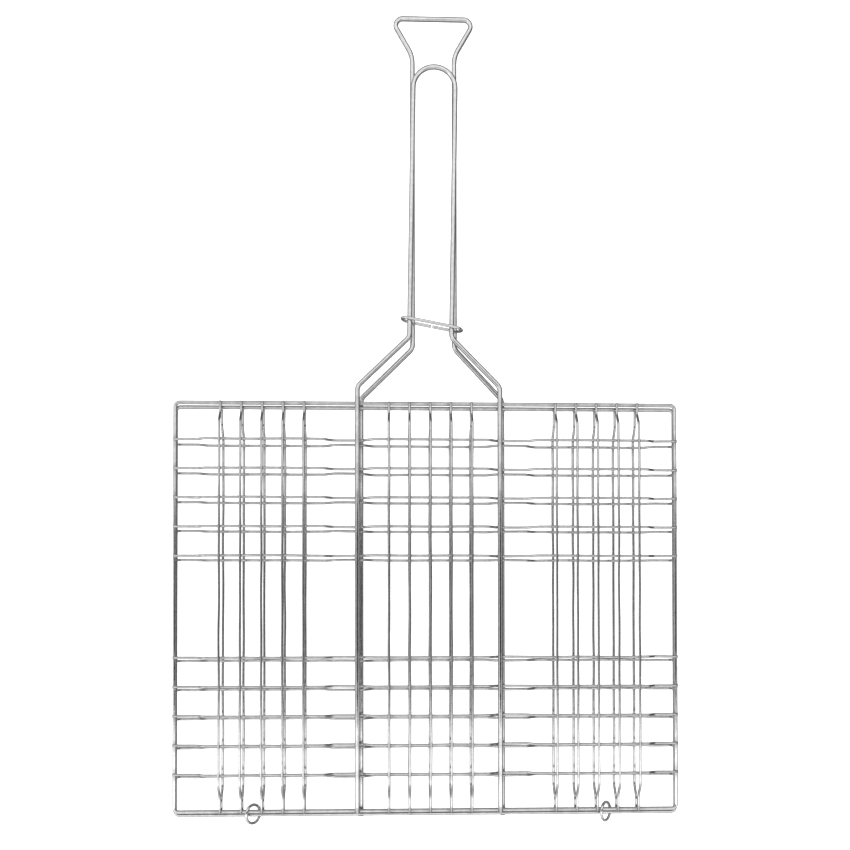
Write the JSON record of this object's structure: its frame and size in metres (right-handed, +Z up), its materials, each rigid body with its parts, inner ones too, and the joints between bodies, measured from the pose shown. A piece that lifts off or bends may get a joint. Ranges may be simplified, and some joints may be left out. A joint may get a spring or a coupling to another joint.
{
  "type": "hinged grill basket",
  "caption": "Flat wire grill basket: two hinged chromed wire halves with cross-wire grids, long wire handles, a sliding latch ring and a hanging loop.",
  "frame": {"origin": "centre of the closed basket's footprint, on the surface it lies on", "axes": "+Y from the hinge end towards the handle and hanging loop, +X across the basket to the right seen from above with the handle away, +Z up through both closed halves"},
  "size_m": [0.4, 0.6453, 0.022],
  "materials": {
    "frame_wire": "bright nickel-chrome plated steel wire",
    "handle_wire": "bright nickel-chrome plated steel wire",
    "grid_wire": "bright nickel-chrome plated thin steel wire",
    "ring_wire": "bright nickel-chrome plated steel wire"
  },
  "bodies": {
    "lower_half": {"lower_frame_wire": "frame_wire", "lower_handle_wire": "handle_wire", "lower_cross_wire_1": "grid_wire", "lower_cross_wire_2": "grid_wire", "lower_cross_wire_3": "grid_wire", "lower_cross_wire_4": "grid_wire", "lower_cross_wire_5": "grid_wire", "lower_cross_wire_6": "grid_wire", "lower_cross_wire_7": "grid_wire", "lower_cross_wire_8": "grid_wire", "lower_cross_wire_9": "grid_wire", "lower_cross_wire_10": "grid_wire", "lower_long_wire_left_1": "grid_wire", "lower_long_wire_left_2": "grid_wire", "lower_long_wire_left_3": "grid_wire", "lower_long_wire_left_4": "grid_wire", "lower_long_wire_left_5": "grid_wire", "lower_long_wire_mid_1": "grid_wire", "lower_long_wire_mid_2": "grid_wire", "lower_long_wire_mid_3": "grid_wire", "lower_long_wire_mid_4": "grid_wire", "lower_long_wire_mid_5": "grid_wire", "lower_long_wire_right_1": "grid_wire", "lower_long_wire_right_2": "grid_wire", "lower_long_wire_right_3": "grid_wire", "lower_long_wire_right_4": "grid_wire", "lower_long_wire_right_5": "grid_wire"},
    "upper_half": {"upper_frame_wire": "frame_wire", "upper_handle_wire": "handle_wire", "upper_cross_wire_1": "grid_wire", "upper_cross_wire_2": "grid_wire", "upper_cross_wire_3": "grid_wire", "upper_cross_wire_4": "grid_wire", "upper_cross_wire_5": "grid_wire", "upper_cross_wire_6": "grid_wire", "upper_cross_wire_7": "grid_wire", "upper_cross_wire_8": "grid_wire", "upper_cross_wire_9": "grid_wire", "upper_cross_wire_10": "grid_wire", "upper_long_wire_left_1": "grid_wire", "upper_long_wire_left_2": "grid_wire", "upper_long_wire_left_3": "grid_wire", "upper_long_wire_left_4": "grid_wire", "upper_long_wire_left_5": "grid_wire", "upper_long_wire_mid_1": "grid_wire", "upper_long_wire_mid_2": "grid_wire", "upper_long_wire_mid_3": "grid_wire", "upper_long_wire_mid_4": "grid_wire", "upper_long_wire_mid_5": "grid_wire", "upper_long_wire_right_1": "grid_wire", "upper_long_wire_right_2": "grid_wire", "upper_long_wire_right_3": "grid_wire", "upper_long_wire_right_4": "grid_wire", "upper_long_wire_right_5": "grid_wire"},
    "latch_ring": {"latch_ring": "ring_wire"},
    "hinge_ring_left": {"hinge_ring_left": "ring_wire"},
    "hinge_ring_right": {"hinge_ring_right": "ring_wire"}
  },
  "joints": [
    {"name": "lid_hinge", "type": "hinge", "parent": "lower_half", "child": "upper_half", "pos_m": [0, -0.3162, 0.011], "axis": [1, 0, 0], "range_deg": [0, 180]},
    {"name": "latch_slide", "type": "slide", "parent": "lower_half", "child": "latch_ring", "axis": [0, 1, 0], "range_m": [0, 0.212]},
    {"name": "hinge_ring_left_turn", "type": "hinge", "parent": "upper_half", "child": "hinge_ring_left", "pos_m": [-0.1372, -0.3144, 0.0111], "axis": [0.766, 0, 0.6428], "continuous": true},
    {"name": "hinge_ring_right_turn", "type": "hinge", "parent": "upper_half", "child": "hinge_ring_right", "pos_m": [0.1422, -0.3144, 0.0111], "axis": [0.766, 0, 0.6428], "continuous": true}
  ]
}
